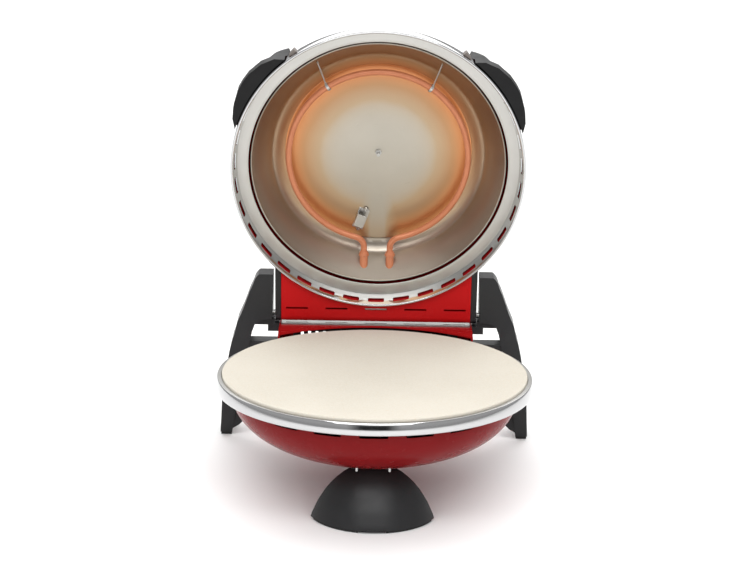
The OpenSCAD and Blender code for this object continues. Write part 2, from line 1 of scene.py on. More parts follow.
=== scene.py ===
"""Looks for the countertop pizza oven: every visible piece gets a finished mesh and a procedural material."""
import json
import math
import bmesh
import bpy
import numpy as np
from mathutils import Matrix, Vector


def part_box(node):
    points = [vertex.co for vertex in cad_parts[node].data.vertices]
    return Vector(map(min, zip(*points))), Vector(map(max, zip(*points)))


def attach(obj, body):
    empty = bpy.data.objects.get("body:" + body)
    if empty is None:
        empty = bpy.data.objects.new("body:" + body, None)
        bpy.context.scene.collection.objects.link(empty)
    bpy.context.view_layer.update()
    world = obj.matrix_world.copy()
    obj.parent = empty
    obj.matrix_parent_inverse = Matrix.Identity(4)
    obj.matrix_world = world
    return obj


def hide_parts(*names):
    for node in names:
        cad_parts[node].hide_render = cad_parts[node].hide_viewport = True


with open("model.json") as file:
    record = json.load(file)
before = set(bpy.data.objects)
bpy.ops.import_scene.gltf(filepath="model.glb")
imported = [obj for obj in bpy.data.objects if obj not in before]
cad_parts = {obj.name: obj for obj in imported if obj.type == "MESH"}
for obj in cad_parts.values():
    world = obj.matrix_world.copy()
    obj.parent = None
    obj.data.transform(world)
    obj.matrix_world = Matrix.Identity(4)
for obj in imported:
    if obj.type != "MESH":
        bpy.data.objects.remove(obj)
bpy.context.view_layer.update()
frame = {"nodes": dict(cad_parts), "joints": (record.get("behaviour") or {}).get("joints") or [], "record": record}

NODES = frame["nodes"]
RECORD = frame["record"]
SCENE = bpy.context.scene
MM = 0.001

# ---------------------------------------------------------------- frames of the two halves
ring_lo, ring_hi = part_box("base_rim_ring")
AXIS_Y = (ring_lo.y + ring_hi.y) / 2
RING_Z = ring_hi.z
hinge = next(j for j in frame["joints"] if j["name"] == "lid_hinge")
HINGE = Vector(hinge["pos_m"])
OPEN = math.radians(hinge["range_deg"][1])
GAP = 4.0  # mm between the base ring and the closed lip
HY = (HINGE.y - AXIS_Y) / MM
HZ = (HINGE.z - RING_Z) / MM
SCALE = Matrix.Scale(MM, 4)
BASE = Matrix.Translation((0, AXIS_Y, RING_Z)) @ SCALE
LID = Matrix.Translation(HINGE) @ Matrix.Rotation(-OPEN, 4, "X") @ SCALE @ Matrix.Translation((0, -HY, GAP - HZ))
LID_INV = LID.inverted()

SEAT = -12.5
BOWL_R, BOWL_D, BOWL_P = 145.8, 69.0, 2.24
LID_R = 155.3
DOME_W, DOME_H, DOME_Z0, DOME_P = LID_R - 1.2, 84.0, 8.0, 2.05
LOOP_R, LOOP_Z, ROOF_Z = 95.7, 45.0, 60.0


# ---------------------------------------------------------------- materials
class Mat:
    """A Principled material with object-space procedural detail. Coordinates are the row frame's own metres."""

    def __init__(self, name, color, rough, metal=0.0, **kw):
        self.m = bpy.data.materials.new(name)
        self.m.use_nodes = True
        self.m.diffuse_color = (*color, 1)
        self.t = self.m.node_tree
        self.n = self.t.nodes
        self.l = self.t.links
        self.b = self.n["Principled BSDF"]
        self.b.inputs["Base Color"].default_value = (*color, 1)
        self.b.inputs["Roughness"].default_value = rough
        self.b.inputs["Metallic"].default_value = metal
        for k, v in kw.items():
            self.b.inputs[k.replace("_", " ")].default_value = v
        self.co = self.n.new("ShaderNodeTexCoord").outputs["Object"]
        self.normal = None

    def node(self, kind, **props):
        n = self.n.new(kind)
        for k, v in props.items():
            setattr(n, k, v)
        return n

    def mapped(self, scale=(1, 1, 1), rot=(0, 0, 0), loc=(0, 0, 0)):
        n = self.node("ShaderNodeMapping")
        n.inputs["Scale"].default_value = scale
        n.inputs["Rotation"].default_value = rot
        n.inputs["Location"].default_value = loc
        self.l.new(self.co, n.inputs["Vector"])
        return n.outputs["Vector"]

    def noise(self, scale, detail=3.0, rough=0.55, vec=None, distort=0.0):
        n = self.node("ShaderNodeTexNoise")
        n.inputs["Scale"].default_value = scale
        n.inputs["Detail"].default_value = detail
        n.inputs["Roughness"].default_value = rough
        n.inputs["Distortion"].default_value = distort
        self.l.new(vec if vec is not None else self.co, n.inputs["Vector"])
        return n.outputs["Fac"]

    def voronoi(self, scale, vec=None, feature="F1"):
        n = self.node("ShaderNodeTexVoronoi", feature=feature)
        n.inputs["Scale"].default_value = scale
        self.l.new(vec if vec is not None else self.co, n.inputs["Vector"])
        return n.outputs["Distance"]

    def ramp(self, fac, stops, mode="LINEAR"):
        n = self.node("ShaderNodeValToRGB")
        n.color_ramp.interpolation = mode
        e = n.color_ramp.elements
        while len(e) < len(stops):
            e.new(0.5)
        for el, (p, c) in zip(e, stops):
            el.position = p
            el.color = (*c, 1) if len(c) == 3 else c
        self.l.new(fac, n.inputs["Fac"])
        return n.outputs["Color"]

    def maprange(self, fac, a, b, c, d):
        n = self.node("ShaderNodeMapRange")
        for i, v in enumerate((a, b, c, d)):
            n.inputs[i + 1].default_value = v
        self.l.new(fac, n.inputs[0])
        return n.outputs[0]

    def math(self, op, a, b=None):
        n = self.node("ShaderNodeMath", operation=op)
        for i, v in enumerate((a, b)):
            if v is None:
                continue
            if isinstance(v, (int, float)):
                n.inputs[i].default_value = v
            else:
                self.l.new(v, n.inputs[i])
        return n.outputs[0]

    def mix(self, fac, a, b, blend="MIX"):
        n = self.node("ShaderNodeMix", data_type="RGBA", blend_type=blend)
        for i, v in ((0, fac), (6, a), (7, b)):
            if isinstance(v, (int, float)):
                n.inputs[i].default_value = v
            elif isinstance(v, tuple):
                n.inputs[i].default_value = (*v, 1) if len(v) == 3 else v
            else:
                self.l.new(v, n.inputs[i])
        return n.outputs[2]

    def bump(self, height, strength=0.2, dist=0.0002):
        n = self.node("ShaderNodeBump")
        n.inputs["Strength"].default_value = strength
        n.inputs["Distance"].default_value = dist
        self.l.new(height, n.inputs["Height"])
        if self.normal is not None:
            self.l.new(self.normal, n.inputs["Normal"])
        self.normal = n.outputs["Normal"]
        self.l.new(self.normal, self.b.inputs["Normal"])
        return self

    def to(self, socket, out):
        self.l.new(out, self.b.inputs[socket])
        return self

    def attr(self, name):
        n = self.node("ShaderNodeAttribute", attribute_name=name)
        return n.outputs["Fac"]

    def polar(self, name):
        """Angle and radius kept with the mesh, for turned or spun marks round an axis."""
        n = self.node("ShaderNodeAttribute", attribute_name=name)
        return n.outputs["Vector"]


def red_enamel(name="red_enamel", painted_light_gain=1.0):
    k = Mat(name, (0.35, 0.008, 0.009), 0.22, 0.0)
    k.b.inputs["Specular IOR Level"].default_value = 0.06
    n = k.noise(260, 2)
    big = k.noise(14, 3)
    # the red is scaled up or down for lighter and darker copies, standing for the light each part gets: painted light
    # and shade
    k.to("Base Color", k.mix(k.maprange(big, 0.3, 0.7, 0.0, 1.0), (0.345 * painted_light_gain, 0.0085, 0.0095), (0.375 * painted_light_gain, 0.010, 0.0115)))
    k.to("Roughness", k.maprange(k.noise(60, 4), 0.3, 0.7, 0.20, 0.30))
    k.bump(n, 0.10, 0.00006)
    k.bump(k.noise(40, 2), 0.02, 0.0003)
    return k.m


def chrome():
    k = Mat("chrome_band", (0.54, 0.54, 0.545), 0.09, 1.0)
    k.to("Roughness", k.maprange(k.noise(35, 5), 0.3, 0.75, 0.06, 0.13))
    k.bump(k.noise(120, 3), 0.03, 0.0001)
    return k.m


def satin(name="satin_steel", color=(0.40, 0.393, 0.375), lo=0.28, hi=0.40, ringed=True):
    k = Mat(name, color, (lo + hi) / 2, 1.0)
    if ringed:
        v = k.polar("turned")
        lines = k.noise(1.0, 4, 0.7, vec=v)
    else:
        lines = k.noise(1.0, 4, 0.7, vec=k.mapped((60, 900, 900)))
    k.to("Roughness", k.maprange(lines, 0.25, 0.75, lo, hi))
    k.to("Base Color", k.mix(k.noise(22, 4), tuple(c * 0.90 for c in color), tuple(min(1, c * 1.06) for c in color)))
    k.bump(lines, 0.12, 0.00008)
    return k.m


def reflector():
    """Spun steel, tinted and lit orange close to the element: partly a temper tint, partly a painted glow with
    emission. Painted shade falls under and around the element. Both come from vertex attributes.
    """
    k = Mat("reflector_steel", (0.60, 0.585, 0.55), 0.3, 1.0)
    tint_glow_fac = k.attr("heat_tint_and_painted_glow")
    shade = k.attr("shade")
    lines = k.noise(1.0, 4, 0.7, vec=k.polar("turned"))
    # this value drives both a temper tint of the steel and a painted orange glow from the element
    wob = k.math("MULTIPLY", tint_glow_fac, k.maprange(k.noise(16, 3), 0.2, 0.8, 0.88, 1.10))
    steel = k.mix(k.noise(18, 4), (0.43, 0.405, 0.355), (0.505, 0.475, 0.42))
    # orange base colour near the element: partly temper tint, partly painted glow
    tint_glow_colour = k.ramp(wob, [(0.0, (0.48, 0.45, 0.39)), (0.22, (0.46, 0.35, 0.235)), (0.55, (0.42, 0.245, 0.13)), (1.0, (0.52, 0.21, 0.085))])
    col = k.mix(k.maprange(wob, 0.02, 0.25, 0.0, 1.0), steel, tint_glow_colour)
    # painted shade: the steel is darkened towards brown where the shade value is high
    k.to("Base Color", k.mix(k.math("MULTIPLY", shade, 0.75), col, (0.16, 0.12, 0.085)))
    k.to("Roughness", k.maprange(lines, 0.25, 0.75, 0.26, 0.42))
    k.bump(lines, 0.16, 0.0001)
    # painted glow: the steel itself emits orange light near the element
    painted_glow_emission = k.ramp(wob, [(0.0, (0, 0, 0)), (0.25, (0.045, 0.018, 0.005)), (0.6, (0.20, 0.075, 0.018)), (1.0, (0.50, 0.155, 0.035))])
    k.to("Emission Color", painted_glow_emission)
    k.b.inputs["Emission Strength"].default_value = 0.30
    return k.m


def element_glow():
    k = Mat("element_glow", (0.80, 0.36, 0.20), 0.38, 0.35)
    n = k.noise(90, 4)
    k.to("Base Color", k.mix(n, (0.38, 0.135, 0.065), (0.47, 0.19, 0.10)))
    k.to("Roughness", k.maprange(k.noise(150, 3), 0.3, 0.7, 0.30, 0.46))
    k.to("Emission Color", k.mix(k.noise(30, 2), (0.50, 0.12, 0.04), (0.62, 0.17, 0.06)))
    k.b.inputs["Emission Strength"].default_value = 0.22
    k.bump(k.noise(500, 3), 0.15, 0.00008)
    return k.m


def element_dark():
    k = Mat("element_dark", (0.16, 0.12, 0.11), 0.5, 0.8)
    k.to("Base Color", k.mix(k.noise(60, 5), (0.11, 0.085, 0.08), (0.24, 0.17, 0.14)))
    k.bump(k.noise(500, 3), 0.2, 0.0001)
    return k.m


def stone():
    k = Mat("baking_stone", (0.86, 0.79, 0.63), 0.86)
    k.b.inputs["Specular IOR Level"].default_value = 0.2
    big = k.noise(9, 4)
    speck = k.ramp(k.noise(420, 2), [(0.0, (0, 0, 0)), (0.60, (0, 0, 0)), (0.72, (1, 1, 1))])
    base = k.mix(k.maprange(big, 0.3, 0.7, 0, 1), (0.575, 0.535, 0.455), (0.63, 0.59, 0.51))
    fine = k.mix(k.maprange(k.noise(700, 3), 0.35, 0.65, 0, 0.5), base, (0.67, 0.635, 0.565))
    k.to("Base Color", k.mix(k.math("MULTIPLY", speck, 0.35), fine, (0.62, 0.50, 0.34)))
    k.to("Roughness", k.maprange(big, 0.3, 0.7, 0.80, 0.93))
    k.bump(k.noise(900, 4), 0.35, 0.00025)
    k.bump(k.noise(90, 3), 0.15, 0.0004)
    return k.m


def plastic(name, color, rough, grain=1400, strength=0.22, coat=0.0, spec=0.5):
    k = Mat(name, color, rough)
    k.b.inputs["Specular IOR Level"].default_value = spec
    if coat:
        k.b.inputs["Coat Weight"].default_value = coat
        k.b.inputs["Coat Roughness"].default_value = 0.12
    k.to("Base Color", k.mix(k.noise(25, 4), tuple(c * 0.85 for c in color), tuple(c * 1.2 for c in color)))
    k.to("Roughness", k.maprange(k.noise(70, 4), 0.3, 0.7, rough - 0.05, rough + 0.07))
    k.bump(k.noise(grain, 3, 0.6), strength, 0.00012)
    return k.m


def plain(name, color, rough, metal=0.0, grain=600, strength=0.2, dist=0.0001, vary=0.12):
    k = Mat(name, color, rough, metal)
    k.to("Base Color", k.mix(k.noise(50, 4), tuple(max(0, c * (1 - vary)) for c in color), tuple(min(1, c * (1 + vary)) for c in color)))
    k.to("Roughness", k.maprange(k.noise(130, 3), 0.3, 0.7, max(0.04, rough - 0.06), min(1, rough + 0.06)))
    k.bump(k.noise(grain, 3), strength, dist)
    return k.m


M = {
    "red_enamel": red_enamel(),
    # darker and lighter copies of the same red enamel: painted shade on the bowl, painted light on the lid's rear box
    "red_enamel_painted_shade": red_enamel("red_enamel_painted_shade", 0.54),
    "red_enamel_painted_light": red_enamel("red_enamel_painted_light", 1.25),
    "chrome_band": chrome(),
    "satin_steel": satin(),
    "flange_steel": satin("flange_steel", (0.52, 0.51, 0.485), 0.33, 0.45),
    "satin_plate": satin("satin_plate", (0.52, 0.515, 0.50), 0.26, 0.38, ringed=False),
    "reflector_steel": reflector(),
    "element_glow": element_glow(),
    "element_dark": element_dark(),
    "baking_stone": stone(),
    "black_plastic": plastic("black_plastic", (0.0125, 0.0125, 0.0135), 0.38, spec=0.36),
    "handle_black": plastic("handle_black", (0.0045, 0.0045, 0.005), 0.46, spec=0.22),
    "knob_plastic": plastic("knob_plastic", (0.014, 0.014, 0.015), 0.24, 900, 0.08, 0.3),
    "rubber_pad": plain("rubber_pad", (0.022, 0.022, 0.022), 0.8, 0, 500, 0.4, 0.0002),
    "zinc_screw": plain("zinc_screw", (0.50, 0.50, 0.49), 0.32, 1.0, 800, 0.12),
    "ceramic_white": plain("ceramic_white", (0.82, 0.80, 0.74), 0.6, 0, 700, 0.15),
    "mineral_wool": plain("mineral_wool", (0.66, 0.62, 0.50), 0.95, 0, 260, 0.9, 0.0012, 0.25),
    "pilot_amber": plain("pilot_amber", (0.80, 0.20, 0.03), 0.12, 0, 300, 0.03, 0.0001, 0.08),
    "bracket_brown": plain("bracket_brown", (0.16, 0.135, 0.12), 0.42, 0.3),
}
SLOT_OF = {s["node"]: s["material_slot"] for s in RECORD["subparts"]}
BODY_OF = {n: b for b, ns in RECORD["behaviour"]["bodies"].items() for n in ns}


# ---------------------------------------------------------------- mesh helpers
def finish_mesh(me, angle=32):
    for p in me.polygons:
        p.use_smooth = True
    me.set_sharp_from_angle(angle=math.radians(angle))


def make(name, me, mats, body, *nodes, slot=None):
    o = bpy.data.objects.new(name, me)
    SCENE.collection.objects.link(o)
    for m in mats:
        me.materials.append(m)
    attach(o, body)
    if nodes:
        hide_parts(*nodes)
        slot = slot or SLOT_OF[nodes[0]]
    return o


def turned(me, inv, k_r=700.0, k_a=2.2):
    """A vector attribute (radius, angle) in the piece's own frame, so brushed marks run round its axis."""
    n = len(me.vertices)
    co = np.zeros(n * 3)
    me.vertices.foreach_get("co", co)
    co = np.c_[co.reshape(-1, 3), np.ones(n)] @ np.array(inv).T
    r = np.hypot(co[:, 0], co[:, 1])
    a = np.arctan2(co[:, 1], co[:, 0])
    v = np.c_[r * k_r / 1000, k_a * np.cos(a), k_a * np.sin(a) + co[:, 2] * k_r / 1000].astype(np.float32)
    at = me.attributes.new("turned", "FLOAT_VECTOR", "POINT")
    at.data.foreach_set("vector", v.ravel())


def lathe(profile, to, segs=256, mat_of=None, round_off=None):
    """Turns a closed (r, z) outline, in mm, round Z. mat_of(r, z) gives a face's material index."""
    bm = bmesh.new()
    rings = []
    for r, z in profile:
        if r < 1e-6:
            rings.append([bm.verts.new((0, 0, z))])
        else:
            rings.append([bm.verts.new((r * math.cos(2 * math.pi * i / segs), r * math.sin(2 * math.pi * i / segs), z)) for i in range(segs)])
    m = len(profile)
    for j in range(m):
        a, b = rings[j], rings[(j + 1) % m]
        (r0, z0), (r1, z1) = profile[j], profile[(j + 1) % m]
        if len(a) == 1 and len(b) == 1:
            continue
        idx = mat_of((r0 + r1) / 2, (z0 + z1) / 2) if mat_of else 0
        for i in range(segs):
            k = (i + 1) % segs
            vs = [a[0]] if len(a) == 1 else [a[i], a[k]]
            vs += [b[0]] if len(b) == 1 else [b[k], b[i]]
            f = bm.faces.new(vs)
            f.material_index = idx
    bmesh.ops.recalc_face_normals(bm, faces=bm.faces)
    me = bpy.data.meshes.new("lathe")
    bm.to_mesh(me)
    bm.free()
    me.transform(to)
    if to.determinant() < 0:
        me.flip_normals()
    me.update()
    return me


def rounded(points, radius, steps=4):
    """Rounds the corners of a closed (r, z) outline. Each point may carry its own radius as a third value."""
    out = []
    m = len(points)
    for i in range(m):
        p = Vector(points[i][:2])
        rad = points[i][2] if len(points[i]) > 2 else radius
        a, b = Vector(points[i - 1][:2]), Vector(points[(i + 1) % m][:2])
        u, v = (a - p), (b - p)
        lu, lv = u.length, v.length
        if rad <= 0 or lu < 1e-6 or lv < 1e-6:
            out.append((p.x, p.y))
            continue
        u.normalize(), v.normalize()
        half = math.acos(max(-1, min(1, u.dot(v)))) / 2
        if half > math.radians(86):
            out.append((p.x, p.y))
            continue
        d = min(rad / math.tan(half), lu * 0.45, lv * 0.45)
        s, e = p + u * d, p + v * d
        for k in range(steps + 1):
            t = k / steps
            q = s * (1 - t) ** 2 + p * 2 * t * (1 - t) + e * t * t
            out.append((max(0.0, q.x), q.y))
    return out


def cut(o, cutters, solver="EXACT"):
    """Subtracts the cutters, then applies the result and drops them."""
    bm = bmesh.new()
    for c in cutters:
        bm.from_mesh(c)
        bpy.data.meshes.remove(c)
    me = bpy.data.meshes.new("cutters")
    bm.to_mesh(me)
    bm.free()
    t = bpy.data.objects.new("cutters", me)
    SCENE.collection.objects.link(t)
    mod = o.modifiers.new("cut", "BOOLEAN")
    mod.object = t
    mod.solver = solver
    mod.use_self = False
    bpy.context.view_layer.update()
    dg = bpy.context.evaluated_depsgraph_get()
    new = bpy.data.meshes.new_from_object(o.evaluated_get(dg))
    o.modifiers.clear()
    o.data = new
    bpy.data.objects.remove(t)
    return o


def arc_block(mid, wide, r0, r1, z0, z1, to, steps=10, ends=1.2):
    """A block bent round Z, with its short ends rounded in z."""
    bm = bmesh.new()
    prof = []
    h = (z1 - z0) / 2
    zc = (z0 + z1) / 2
    # walk along the arc, narrowing at both ends for round corners
    a0, a1 = mid - wide / 2, mid + wide / 2
    rm = (r0 + r1) / 2
    cols = []
    e = min(h, ends)
    ea = math.degrees(e / rm)
    stops = [(a0 + ea * (1 - math.cos(t)), h - e + e * math.sin(t)) for t in [i * math.pi / 8 for i in range(5)]]
    mids = [(a0 + ea + (wide - 2 * ea) * i / steps, h) for i in range(1, steps)]
    back = [(2 * mid - a, q) for a, q in reversed(stops)]
    for a, q in stops + mids + back:
        c, s = math.cos(math.radians(a)), math.sin(math.radians(a))
        cols.append([bm.verts.new((r * c, r * s, z)) for r, z in ((r0, zc - q), (r1, zc - q), (r1, zc + q), (r0, zc + q))])
    for a, b in zip(cols, cols[1:]):
        for i in range(4):
            k = (i + 1) % 4
            bm.faces.new((a[i], a[k], b[k], b[i]))
    bm.faces.new(cols[0][::-1])
    bm.faces.new(cols[-1])
    bmesh.ops.recalc_face_normals(bm, faces=bm.faces)
    me = bpy.data.meshes.new("arc")
    bm.to_mesh(me)
    bm.free()
    me.transform(to)
    return me


def refine(node, width=0.6, segs=3, angle=28, mat=None, merge=1e-6, name=None):
    """A copy of a CAD node's own mesh, with its flat faces joined up and its hard edges rounded by a small bevel."""
    src = NODES[node]
    bm = bmesh.new()
    bm.from_mesh(src.data)
    bmesh.ops.remove_doubles(bm, verts=bm.verts, dist=merge)
    bmesh.ops.dissolve_limit(bm, angle_limit=math.radians(0.6), verts=bm.verts, edges=bm.edges, delimit={"NORMAL"})
    bmesh.ops.recalc_face_normals(bm, faces=bm.faces)
    me = bpy.data.meshes.new(node)
    bm.to_mesh(me)
    bm.free()
    me.materials.clear()
    m = mat or M[SLOT_OF[node]]
    o = make(name or node + ".skin", me, [m], BODY_OF[node], node)
    for p in me.polygons:
        p.use_smooth = True
    if width > 0:
        b = o.modifiers.new("bevel", "BEVEL")
        b.width = width * MM
        b.segments = segs
        b.limit_method = "ANGLE"
        b.angle_limit = math.radians(angle)
        b.use_clamp_overlap = True
        b.harden_normals = False
        b.profile = 0.6
        dg = bpy.context.evaluated_depsgraph_get()
        bpy.context.view_layer.update()
        new = bpy.data.meshes.new_from_object(o.evaluated_get(dg))
        o.modifiers.clear()
        o.data = new
    finish_mesh(o.data, 38)
    w = o.modifiers.new("normals", "WEIGHTED_NORMAL")
    w.keep_sharp = True
    return o


def curve_pts(r, d, p, z, up, n=64, a0=0.0, a1=90.0):
    out = []
    for i in range(n + 1):
        s = math.radians(a0 + (a1 - a0) * i / n)
        out.append((r * max(0.0, math.cos(s)) ** (2 / p), z + up * d * max(0.0, math.sin(s)) ** (2 / p)))
    return out


def tube(points, radius, sides=28):
    """A tube swept along points, with flat caps. Returns a mesh in the points' own units."""
    pts = [Vector(p) for p in points]
    bm = bmesh.new()
    rings = []
    prev = None
    for i, p in enumerate(pts):
        t = (pts[min(i + 1, len(pts) - 1)] - pts[max(i - 1, 0)]).normalized()
        if prev is None:
            u = t.orthogonal().normalized()
        else:
            u = (prev - t * prev.dot(t)).normalized()
        prev = u
        v = t.cross(u)
        rings.append([bm.verts.new(p + (u * math.cos(a) + v * math.sin(a)) * radius) for a in [2 * math.pi * k / sides for k in range(sides)]])
    for a, b in zip(rings, rings[1:]):
        for k in range(sides):
            j = (k + 1) % sides
            bm.faces.new((a[k], a[j], b[j], b[k]))
    bm.faces.new(rings[0][::-1])
    bm.faces.new(rings[-1])
    bmesh.ops.recalc_face_normals(bm, faces=bm.faces)
    me = bpy.data.meshes.new("tube")
    bm.to_mesh(me)
    bm.free()
    return me


def loop_path(r, rise, bend, long, dip):
    """The element's centreline: round the loop, round both bends, and out along the two ends."""
    a = math.asin((14 + bend) / (r + bend))
    cy = (r + bend) * math.cos(a)
    right = []
    for i in range(0, 19):  # the bend, from the straight end to the loop
        t = math.pi + (math.pi / 2 - a) * i / 18
        right.append(Vector((14 + bend + bend * math.cos(t), cy + bend * math.sin(t), rise)))
    d = Vector((0, math.cos(math.radians(dip)), -math.sin(math.radians(dip))))
    start = Vector((14, cy, rise))
    leg = [start + d * (long * k / 8) for k in range(8, 0, -1)]
    # soften the corner between the straight end and the bend
    side = leg + right
    loop = []
    for i in range(1, 180):
        t = math.pi / 2 - a - (2 * math.pi - 2 * a) * i / 180
        loop.append(Vector((r * math.cos(t), r * math.sin(t), rise)))
    left = [Vector((-p.x, p.y, p.z)) for p in reversed(side)]
    pts = side + loop + left
    for _ in range(2):
        q = [pts[0]] + [(pts[i - 1] + pts[i] * 2 + pts[i + 1]) / 4 for i in range(1, len(pts) - 1)] + [pts[-1]]
        pts = [b if (b - a_).length < 0.35 else a_ for a_, b in zip(pts, q)]
    return pts


# ---------------------------------------------------------------- base
def ring_piece():
    # chrome band, gently crowned, under a satin flat top
    crown = [(158.75, -0.12), (158.95, -0.35), (159.3, -0.9), (159.62, -1.7), (160.0, -3.0), (160.34, -4.5), (160.63, -6.0), (160.86, -7.5),
             (160.98, -9.0), (161.0, -10.4), (160.92, -11.4), (160.65, -12.1), (160.2, -12.46)]
    crown = [(r + 0.6, z) for r, z in crown]
    prof = [(155.4, -0.25), (155.65, 0.0), (159.0, 0.0)] + crown + [(159.6, -12.5), (157.6, -1.9), (156.8, -1.9), (156.8, -13.5),
            (145.6, -13.5), (145.6, -12.5), (155.4, -12.5)]
    me = lathe(prof, BASE, 360, lambda r, z: 1 if (z > -0.2 and r < 159.2) else 0)
    turned(me, BASE.inverted())
    finish_mesh(me, 40)
    return make("base_band", me, [M["chrome_band"], M["satin_steel"]], "base", "base_rim_ring")


def bowl_piece():
    z0 = SEAT - 1.2
    outer = [p for p in curve_pts(BOWL_R, BOWL_D, BOWL_P, SEAT, -1, 90) if p[1] < z0 - 1.2 - 0.9]
    inner = [p for p in curve_pts(BOWL_R - 1.2, BOWL_D - 1.2, BOWL_P, SEAT, -1, 90) if p[1] < z0 - 0.9]
    prof = [(152.5, z0), (152.5, z0 - 1.2), (BOWL_R + 0.55, z0 - 1.2), (BOWL_R + 0.12, z0 - 1.35)] + outer + inner[::-1] + [(BOWL_R - 1.2, z0)]
    me = lathe(prof, BASE, 320)
    # the bowl takes the darker copy of the red enamel: painted shade
    o = make("bowl", me, [M["red_enamel_painted_shade"]], "base", "base_shell")
    cuts = []
    for i in range(20):
        a = -90 + i * 18
        if math.sin(math.radians(a)) < 0.75:
            cuts.append(arc_block(a, 11, BOWL_R - 6, BOWL_R + 3, SEAT - 7.7, SEAT - 4.5, BASE))
    cut(o, cuts)
    finish_mesh(o.data, 35)
    return o


def stone_piece():
    prof = rounded([(0, SEAT, 0), (155.0, SEAT, 0.8), (155.0, SEAT + 15.5, 2.0), (0, SEAT + 15.5, 0)], 1.0, 6)
    me = lathe(prof, BASE, 256)
    finish_mesh(me, 40)
    return make("stone", me, [M["baking_stone"]], "base", "baking_stone")


def paint_reflector_glow_and_shade(me, inv, r_loop, z_loop):
    """Two vertex values: the first is how close a point is to the loop, for a temper tint and a painted orange glow
    from the element; the second is painted shade: the loop's soft shadow on the steel, plus darkening towards the
    lid's front side, on the cone's sides and between the element's legs.
    """
    n = len(me.vertices)
    co = np.zeros(n * 3)
    me.vertices.foreach_get("co", co)
    c = np.c_[co.reshape(-1, 3), np.ones(n)] @ np.array(inv).T
    x, y, z = c[:, 0], c[:, 1], c[:, 2]
    r = np.hypot(x, y)
    ang = np.degrees(np.arctan2(x, y))  # 0 at the hinge side
    gap = np.clip((np.abs(ang) - 5) / 11, 0, 1)
    top = 0.5 - 0.5 * np.cos(np.radians(ang))  # 1 at the front side of the lid
    d = np.hypot(r - r_loop, (z - z_loop) * 0.55)
    # painted orange glow, partly a temper tint, fading away from the loop inside and outside it
    inner = np.exp(-((np.maximum(r_loop - r - 4, 0) / 24.0) ** 1.25)) * (r < r_loop + 4)
    outer = np.exp(-((np.maximum(d - 6.0, 0) / 12.0) ** 1.4)) * (r >= r_loop + 4) * (0.35 + 0.65 * top)
    h = np.where(r < r_loop + 4, inner, outer) * (0.25 + 0.75 * gap) * (0.78 + 0.22 * top)
    # the shadow falls towards the hinge side, inside the loop's lower edge
    rs = np.hypot(x, y + 8.0)
    shade = 0.42 * np.exp(-(((rs - (r_loop - 13)) / 6.0) ** 2)) * np.clip(y / 60.0, 0, 1) * gap * (r < r_loop + 4)
    # painted shade, darker towards the lid's front side
    shade = np.maximum(shade, 0.42 * np.clip(-(y + 12) / 80.0, 0, 1))
    # painted shade on the cone, slight everywhere and darkest on its two sides
    side = np.exp(-(((np.abs(ang) - 112) / 38) ** 2)) * np.clip((58.5 - z) / 8, 0, 1)
    shade = np.maximum(shade, np.where(z < 59.5, 0.05 + 0.82 * side, 0.0))
    # painted shade on the cone and fillet between the element's legs, by the ferrules
    shade = np.maximum(shade, 0.75 * np.exp(-((ang / 12.0) ** 2)) * (z < 59.7) * np.clip((z - 44) / 8, 0, 1))
    for name, v in (("heat_tint_and_painted_glow", h), ("shade", shade)):
        at = me.attributes.new(name, "FLOAT", "POINT")
        at.data.foreach_set("value", v.astype(np.float32))


def closer(points, step=4.0):
    out = []
    for a, b in zip(points, points[1:]):
        k = max(1, int(math.hypot(b[0] - a[0], b[1] - a[1]) / step))
        out += [(a[0] + (b[0] - a[0]) * i / k, a[1] + (b[1] - a[1]) * i / k) for i in range(k)]
    return out + [points[-1]]


def reflector_piece():
    # rolled rim, cone, then a fillet that meets the flat disc
    face = [(135.2, 24.9), (135.55, 24.35), (135.58, 23.75), (135.35, 23.15), (134.9, 22.75), (134.5, 22.62), (134.05, 22.7), (133.65, 22.95),
            (133.2, 23.8), (115.6, 51.4), (114.8, 52.9), (113.8, 54.3), (112.5, 55.6), (111.0, 56.7), (109.3, 57.7), (107.5, 58.5), (105.5, 59.2),
            (103.5, 59.7), (101.8, 59.95), (100.3, 60.0)]
    back = [(100.3, 61.0), (94.0, 61.0), (94.0, 61.8), (100.4, 61.8), (103.7, 60.6), (107.8, 59.4), (111.5, 57.5), (114.5, 55.0), (116.4, 51.9), (134.4, 25.0)]
    me = lathe(closer(face, 3.0) + back, LID, 300)
    turned(me, LID_INV, 900)
    paint_reflector_glow_and_shade(me, LID_INV, LOOP_R, LOOP_Z)
    finish_mesh(me, 30)
    o = make("reflector", me, [M["reflector_steel"]], "lid", "lid_reflector")
    return o


def roof_piece():
    face = [(100.1, 60.35), (99.9, 60.08), (99.5, 60.0), (0, 60.0)]
    me = lathe(closer(face, 2.5) + [(0, 60.9), (99.9, 60.9), (100.1, 60.8)], LID, 300)
    turned(me, LID_INV, 900)
    paint_reflector_glow_and_shade(me, LID_INV, LOOP_R, LOOP_Z)
    finish_mesh(me, 30)
    return make("reflector_top", me, [M["reflector_steel"]], "lid", "reflector_roof")


